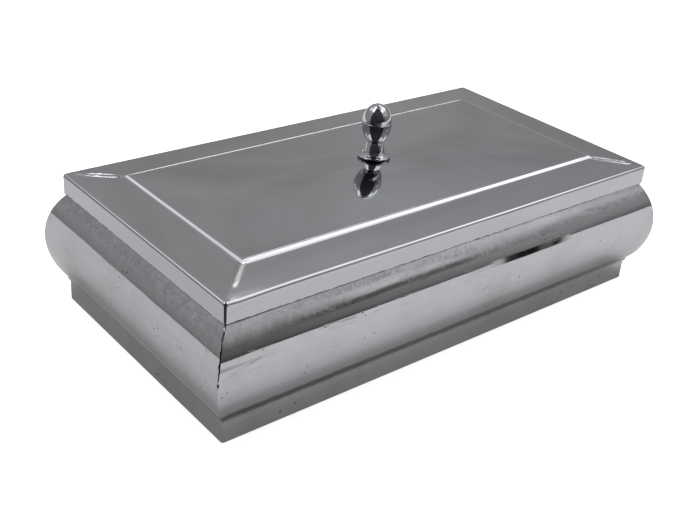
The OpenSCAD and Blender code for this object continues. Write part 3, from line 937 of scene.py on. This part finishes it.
def corner_lap(name, side_x, side_y):
    """Dark soldered lap that shows through the open seam of the rim's corner; its dark is partly tarnished metal and
    partly painted shade of the seam.
    """
    place = (side_x * (RIM_X - 2.6 * MM), side_y * (RIM_Y - 2.6 * MM), LID_Z + RIM_H / 2)
    bpy.ops.mesh.primitive_cylinder_add(vertices=24, radius=2.2 * MM, depth=RIM_H - 1.6 * MM, location=place)
    lap = named(name)
    settle(lap)
    modified(lap, "BEVEL", width=0.3 * MM, segments=2)
    smooth(lap)
    return lap


# Sides

# How far inside the rim the turned-in top edge ends
FLANGE_TO = 10.1 * MM
# Where the swelling ends and the cove under it begins, then the cove's points: height and how far outside the rim
COVE_Z = 24.5 * MM
COVE = [(22.5, 4.3), (20.8, 3.2), (19.4, 2.2), (18.2, 1.25), (17.3, 0.6), (16.5, 0.2), (15.7, 0.0), (14.9, 0.0)]
SWELL_STEPS = 40
# Quarter turns that bring a side to the back
BACK_TURNS = 2
# Dents of the beaten sides in millimetres, long, short, and how far they lie inwards
LONG_DENT, SHORT_DENT, DENTS_IN = 0.10, 0.035, 0.07
# Mitres: the gap at every one, how far from it the sheet is drawn back, and the nick in the open one
MITRE_GAP, MITRE_DRAWN, MITRE_NICK = 0.12 * MM, 4 * MM, 0.8 * MM


def drawn_on(step):
    """Draws the selected edge out by a step."""
    bpy.ops.mesh.extrude_region_move(TRANSFORM_OT_translate={"value": step})


def side_sheet(name, half_run, rim, quarter_turns, shift, open_end=0):
    """One side: its edge swept down round the swelling, turned in at the top and foot, mitred at both ends.

    The shift gives it dents of its own, and open_end tells which mitre stands open.
    """
    centre = Vector((0, -(rim - SWELL_IN), SWELL_Z))
    top_angle = math.asin((SIDE_TOP - SWELL_Z) / SWELL_R)
    foot_angle = math.asin((SWELL_Z - COVE_Z) / SWELL_R)
    reach = half_run + 16 * MM
    top = Vector((0, centre.y - SWELL_R * math.cos(top_angle), SIDE_TOP))
    flange = Vector((0, -(rim - FLANGE_TO), SIDE_TOP))
    bpy.ops.mesh.primitive_grid_add(x_subdivisions=int(reach / MM), y_subdivisions=1, size=2)
    sheet = named(name)
    pick(sheet, "VERT", lambda p: p.y > 0)
    bpy.ops.mesh.delete(type="VERT")
    close()
    move_points(sheet, lambda p: Vector((p.x * reach, flange.y, flange.z)))
    pick_all(sheet)
    for share in (0.985, 0.0075, 0.0075):
        drawn_on((top - flange) * share)
    bpy.ops.mesh.spin(steps=SWELL_STEPS, angle=top_angle + foot_angle, center=centre, axis=(-1, 0, 0))
    last = Vector((0, centre.y - SWELL_R * math.cos(foot_angle), COVE_Z))
    for up, out in COVE:
        point = Vector((0, -(rim + out * MM), up * MM))
        drawn_on(point - last)
        last = point
    drawn_on((0, 0.5 * MM, -0.15 * MM))
    drawn_on((0, 5 * MM, 0))
    for side in (-1, 1):
        bpy.ops.mesh.select_all(action="SELECT")
        bpy.ops.mesh.bisect(
            plane_co=(side * (half_run - SWELL_IN), centre.y, 0), plane_no=(side, 1, 0),
            clear_outer=True, clear_inner=False,
        )
    close()
    outward(sheet)

    def beaten(p):
        out = Vector((0, p.y - centre.y, p.z - centre.z)).normalized()
        if p.z < SIDE_TOP - 0.5 * MM:
            dent = LONG_DENT * rough(p, 46 * MM, shift) + SHORT_DENT * rough(p, 15 * MM, shift + 3) - DENTS_IN
            p += out * dent * MM
        for side in (-1, 1):
            mitre = side * (half_run - SWELL_IN) - side * (p.y - centre.y)
            near = side * (mitre - p.x)
            if near < MITRE_DRAWN:
                gap = MITRE_GAP
                if side == open_end:
                    upper = max(0.0, min(1.0, (p.z - 49 * MM) / (8 * MM)))
                    gap += upper * (0.45 + 1.1 * abs(rough(p, 3.6 * MM, shift + 7))) * MM
                    gap += MITRE_NICK * bell(p.z - 49.7 * MM, 1.2 * MM)
                p.x -= side * gap * (1 - near / MITRE_DRAWN)
        return p

    if quarter_turns == BACK_TURNS:
        slice_notch_ends(sheet)
        sliced(sheet, (0, 0, SIDE_TOP - 1.05 * MM), (0, 0, 1))
        sliced(sheet, (0, -(rim - 9.9 * MM), 0), (0, 1, 0))
        cut_away(sheet, lambda p: at_hinge(p) and p.z > SIDE_TOP - 1.1 * MM and p.y < -(rim - 10 * MM))
    move_points(sheet, beaten)
    sheet.rotation_euler = (0, 0, quarter_turns * math.pi / 2)
    settle(sheet)
    modified(sheet, "SOLIDIFY", thickness=SHEET, offset=-1, use_even_offset=True)
    smooth(sheet, 40)
    return sheet


# Plinth


def plinth_sheet():
    bpy.ops.mesh.primitive_cube_add(size=2, location=(0, 0, (band_low.z + band_high.z) / 2))
    band = named("plinth_sheet")
    band.scale = (band_high.x, band_high.y, (band_high.z - band_low.z) / 2)
    settle(band)
    pick_where(band, "FACE", lambda corners: max(c.z for c in corners) - min(c.z for c in corners) < 1 * MM)
    bpy.ops.mesh.delete(type="ONLY_FACE")
    close()
    pick_where(band, "EDGE", lambda ends: abs(ends[0].z - ends[1].z) > 1 * MM)
    bpy.ops.mesh.bevel(offset=1.6 * MM, segments=6, profile=0.5, affect="EDGES")
    close()
    outward(band)
    modified(band, "SOLIDIFY", thickness=SHEET, offset=-1, use_even_offset=True)
    smooth(band)
    return band


# Knob


def turned(name, outline, steps=96):
    """Turns an outline of (radius, height) points about the knob's axis."""
    bpy.ops.mesh.primitive_plane_add(size=1)
    piece = named(name)
    pick_all(piece)
    bpy.ops.mesh.merge(type="CENTER")
    close()
    piece.data.vertices[0].co = (outline[0][0], 0, outline[0][1])
    piece.data.vertices[0].select = True
    bpy.ops.object.mode_set(mode="EDIT")
    bpy.ops.mesh.select_mode(type="VERT")
    for (r0, z0), (r1, z1) in zip(outline, outline[1:]):
        drawn_on((r1 - r0, 0, z1 - z0))
    bpy.ops.mesh.select_all(action="SELECT")
    bpy.ops.mesh.spin(steps=steps, angle=2 * math.pi, center=(0, 0, 0), axis=(0, 0, 1))
    close()
    outward(piece)
    return piece


def arc_points(centre, radii, start, end, count):
    """Points of an ellipse from one angle to another, in degrees."""
    made = []
    for k in range(count + 1):
        a = math.radians(start + (end - start) * k / count)
        made.append((centre[0] + radii[0] * math.cos(a), centre[1] + radii[1] * math.sin(a)))
    return made


def knob_pieces():
    z0 = CROWN_Z
    foot_r, waist_r, acorn_r = 6.9 * MM, 4.9 * MM, 10.1 * MM
    collar_h, waist_z, lip_z, top_z = 4.5 * MM, 10.7 * MM, 24.8 * MM, 37.1 * MM
    outline = [(0.0, z0 + collar_h), (foot_r - 0.2 * MM, z0 + collar_h)]
    outline.append((foot_r, z0 + collar_h + 0.05 * MM))
    for k in range(1, 13):
        t = k / 12
        r = waist_r + (foot_r - waist_r) * (1 - t) ** 0.65
        outline.append((r, z0 + collar_h + 0.05 * MM + (waist_z - collar_h - 0.05 * MM) * t))
    for k in range(1, 25):
        t = k / 24
        r = waist_r + (acorn_r - waist_r) * math.sin(math.pi / 2 * t ** 0.85) ** 0.85
        outline.append((r, z0 + waist_z + (lip_z - waist_z) * t))
    dome_r = acorn_r - 0.5 * MM
    outline += arc_points((acorn_r - 0.25 * MM, z0 + lip_z + 0.15 * MM), (0.25 * MM, 0.25 * MM), 0, 90, 3)
    outline.append((dome_r, z0 + lip_z + 0.45 * MM))
    outline += arc_points((0, z0 + lip_z + 0.6 * MM), (dome_r, top_z - lip_z - 0.6 * MM), 0, 90, 24)
    finial = turned("knob_acorn", outline)
    smooth(finial, 40)
    collar_r, edge_h = 11.3 * MM, 1.1 * MM
    disc = [(2.0 * MM, z0), (9.3 * MM, z0), (9.9 * MM, z0 + 0.35 * MM), (10.6 * MM, z0 + 0.85 * MM)]
    disc += arc_points((collar_r - 0.55 * MM, z0 + edge_h + 0.45 * MM), (0.55 * MM, 0.55 * MM), -70, 80, 8)
    disc += [(collar_r - 1.1 * MM, z0 + edge_h + 1.05 * MM), (8.9 * MM, z0 + 2.65 * MM), (8.2 * MM, z0 + 2.85 * MM)]
    disc += arc_points((8.2 * MM, z0 + 3.25 * MM), (0.4 * MM, 0.4 * MM), 270, 200, 4)
    disc += [(foot_r + 0.02 * MM, z0 + collar_h), (2.0 * MM, z0 + collar_h)]
    disc.append(disc[0])
    collar = turned("knob_disc", disc)
    smooth(collar, 40)
    return finial, collar


side_plate = side_finish()
plinth_plate = plinth_finish()
lid_plate = lid_finish()
knob_plate = knob_finish()
lap_tarnish_and_shade = tarnish_and_shade_finish()
wood = wood_finish()
brass = metal_finish("hinge_brass", (0.76, 0.56, 0.27), 0.2, (0.5, 0.34, 0.15))
steel = metal_finish("screw_steel", (0.6, 0.61, 0.62), 0.25, (0.42, 0.4, 0.38))
cloth = nap_finish("lining_cloth", (0.1, 0.052, 0.034), (0.2, 0.115, 0.08))
divider_cloth = nap_finish("divider_cloth", (0.092, 0.047, 0.031), (0.19, 0.108, 0.075))
lid_cloth = nap_finish("lid_cloth", (0.105, 0.055, 0.036), (0.21, 0.12, 0.085))
baize = nap_finish("green_baize", (0.018, 0.07, 0.04), (0.05, 0.14, 0.085), 300.0, 0.7)
felt = nap_finish("bumper_felt", (0.028, 0.028, 0.03), (0.08, 0.08, 0.085), nap=0.5)

# Lining and dividers


def wrapped_board(name, node, top_round, tight=0.12, ends=0.6):
    """Thin board wrapped in cloth: rounded edges, the cloth drawn slightly in between them."""
    low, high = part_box(node)
    middle, size = (low + high) / 2, high - low
    bpy.ops.mesh.primitive_cube_add(size=1, location=middle)
    board = named(name)
    board.scale = size
    settle(board)
    pick(board, "EDGE", lambda p: p.z > high.z - 0.1 * MM)
    bpy.ops.mesh.bevel(offset=top_round * MM, segments=5, profile=0.5, affect="EDGES")
    close()
    pick(board, "EDGE", lambda p: p.z < low.z + 0.1 * MM)
    bpy.ops.mesh.bevel(offset=min(0.4, top_round) * MM, segments=2, profile=0.5, affect="EDGES")
    close()
    long_way = 0 if size.x > size.y else 1
    direction = (1, 0, 0) if long_way == 0 else (0, 1, 0)
    start, run = low[long_way], size[long_way]
    for k in range(1, max(2, int(run / (7 * MM)))):
        place = list(middle)
        place[long_way] = start + k * run / max(2, int(run / (7 * MM)))
        sliced(board, place, direction)
    if size.z > 20 * MM:
        for k in range(1, 6):
            sliced(board, (0, 0, low.z + k * size.z / 6), (0, 0, 1))
    thin_way = 1 - long_way
    half_thin = size[thin_way] / 2

    def drawn(p):
        across = (p[thin_way] - middle[thin_way]) / half_thin
        if size.z > 20 * MM:
            dip = rough(p, 21 * MM, 4.0) * 0.5 + 0.5
            near_end = min(p[long_way] - start, start + run - p[long_way])
            if near_end > 2 * MM:
                p[thin_way] -= across * tight * dip * MM
            if p.z > high.z - 2.6 * MM:
                p.z -= 0.22 * MM * (rough(p, 26 * MM, 9.0) * 0.5 + 0.5) * ends
        elif p.z > high.z - 0.5 * MM:
            p.z -= 0.12 * MM * (rough(p, 30 * MM, 2.0) * 0.5 + 0.5)
        return p

    move_points(board, drawn)
    outward(board)
    smooth(board, 45)
    return board


QUILT_STEP = 21 * MM


def padded_lid_lining():
    """Quilted pad under the lid: a thin cushion with rounded sides, sewn in diamonds."""
    low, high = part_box("lid_lining")
    columns, rows = 168, 82
    bpy.ops.mesh.primitive_cube_add(size=1, location=(low + high) / 2)
    pad = named("lid_pad")
    pad.scale = high - low
    settle(pad)
    for way, count in ((0, columns), (1, rows)):
        for k in range(1, count):
            place = [0, 0, 0]
            place[way] = low[way] + (high[way] - low[way]) * k / count
            sliced(pad, place, (1, 0, 0) if way == 0 else (0, 1, 0))
    full = high.z - low.z

    def sewn(p):
        edge = min(high.x - abs(p.x), high.y - abs(p.y))
        side = 1 - math.exp(-edge / (1.3 * MM))
        puff = side
        if edge > 9 * MM:
            a, b = (p.x + p.y) / QUILT_STEP, (p.x - p.y) / QUILT_STEP
            seam = min(abs(a - round(a)), abs(b - round(b))) * QUILT_STEP
            puff *= 1 - 0.62 * bell(seam, 1.5 * MM) - 0.16 * bell(seam, 4.5 * MM)
        elif edge > 7.4 * MM:
            puff *= 0.45
        puff *= 0.95 + 0.05 * rough(p, 17 * MM)
        if p.z < (low.z + high.z) / 2:
            p.z = high.z - 0.25 * MM - (full - 0.25 * MM) * max(0.0, min(1.0, puff))
        return p

    move_points(pad, sewn)
    outward(pad)
    smooth(pad, 60)
    return pad


lid_piece = lid_sheet()
fit(lid_piece, "lid", "lid_plate", lid_plate, "lid_cover")
# Dark laps in the open seams: partly tarnished, partly painted shade
fit(corner_lap("front_left_lap", -1, -1), "lid", "lid_plate", lap_tarnish_and_shade)
fit(corner_lap("back_left_lap", -1, 1), "lid", "lid_plate", lap_tarnish_and_shade)
front_sheet = side_sheet("front_plate", RIM_X, RIM_Y, 0, 0.0, -1)
back_sheet = side_sheet("back_plate", RIM_X, RIM_Y, BACK_TURNS, 10.0)
right_sheet = side_sheet("right_plate", RIM_Y, RIM_X, 1, 20.0)
left_sheet = side_sheet("left_plate", RIM_Y, RIM_X, 3, 30.0, 1)
for sheet, node in (
    (front_sheet, "front_side_sheet"), (back_sheet, "back_side_sheet"),
    (right_sheet, "right_side_sheet"), (left_sheet, "left_side_sheet"),
):
    fit(sheet, "chest", "side_plate", side_plate, node)
fit(plinth_sheet(), "chest", "plinth_plate", plinth_plate, "plinth_band")
acorn, disc = knob_pieces()
fit(acorn, "lid", "knob_plate", knob_plate, "knob_finial")
fit(disc, "lid", "knob_plate", knob_plate, "knob_collar")

for node in ("front_lane_divider", "middle_lane_divider", "back_lane_divider", "cross_divider"):
    fit(wrapped_board(node + "_wrapped", node, 2.3), "chest", "divider_cloth", divider_cloth, node)
for node in ("front_lining", "back_lining", "left_lining", "right_lining"):
    fit(wrapped_board(node + "_wrapped", node, 0.65, 0.1), "chest", "lining_cloth", cloth, node)
fit(wrapped_board("floor_lining_wrapped", "floor_lining", 0.5), "chest", "lining_cloth", cloth, "floor_lining")
lid_pad = padded_lid_lining()
fit(lid_pad, "lid", "lid_cloth", lid_cloth, "lid_lining")

SLOT_FINISH = {
    "carcass_wood": wood, "brass": brass, "steel": steel, "lining_cloth": cloth, "divider_cloth": divider_cloth,
    "lid_cloth": lid_cloth, "baize": baize, "bumper_felt": felt, "side_plate": side_plate,
    "plinth_plate": plinth_plate, "lid_plate": lid_plate, "knob_plate": knob_plate,
}
node_slot = {row["node"]: row["material_slot"] for row in frame["record"]["subparts"]}
for node, obj in frame["nodes"].items():
    finish = SLOT_FINISH[node_slot[node]]
    for target in ([obj] if obj.type == "MESH" else [o for o in obj.children_recursive if o.type == "MESH"]):
        target.data.materials.clear()
        target.data.materials.append(finish)
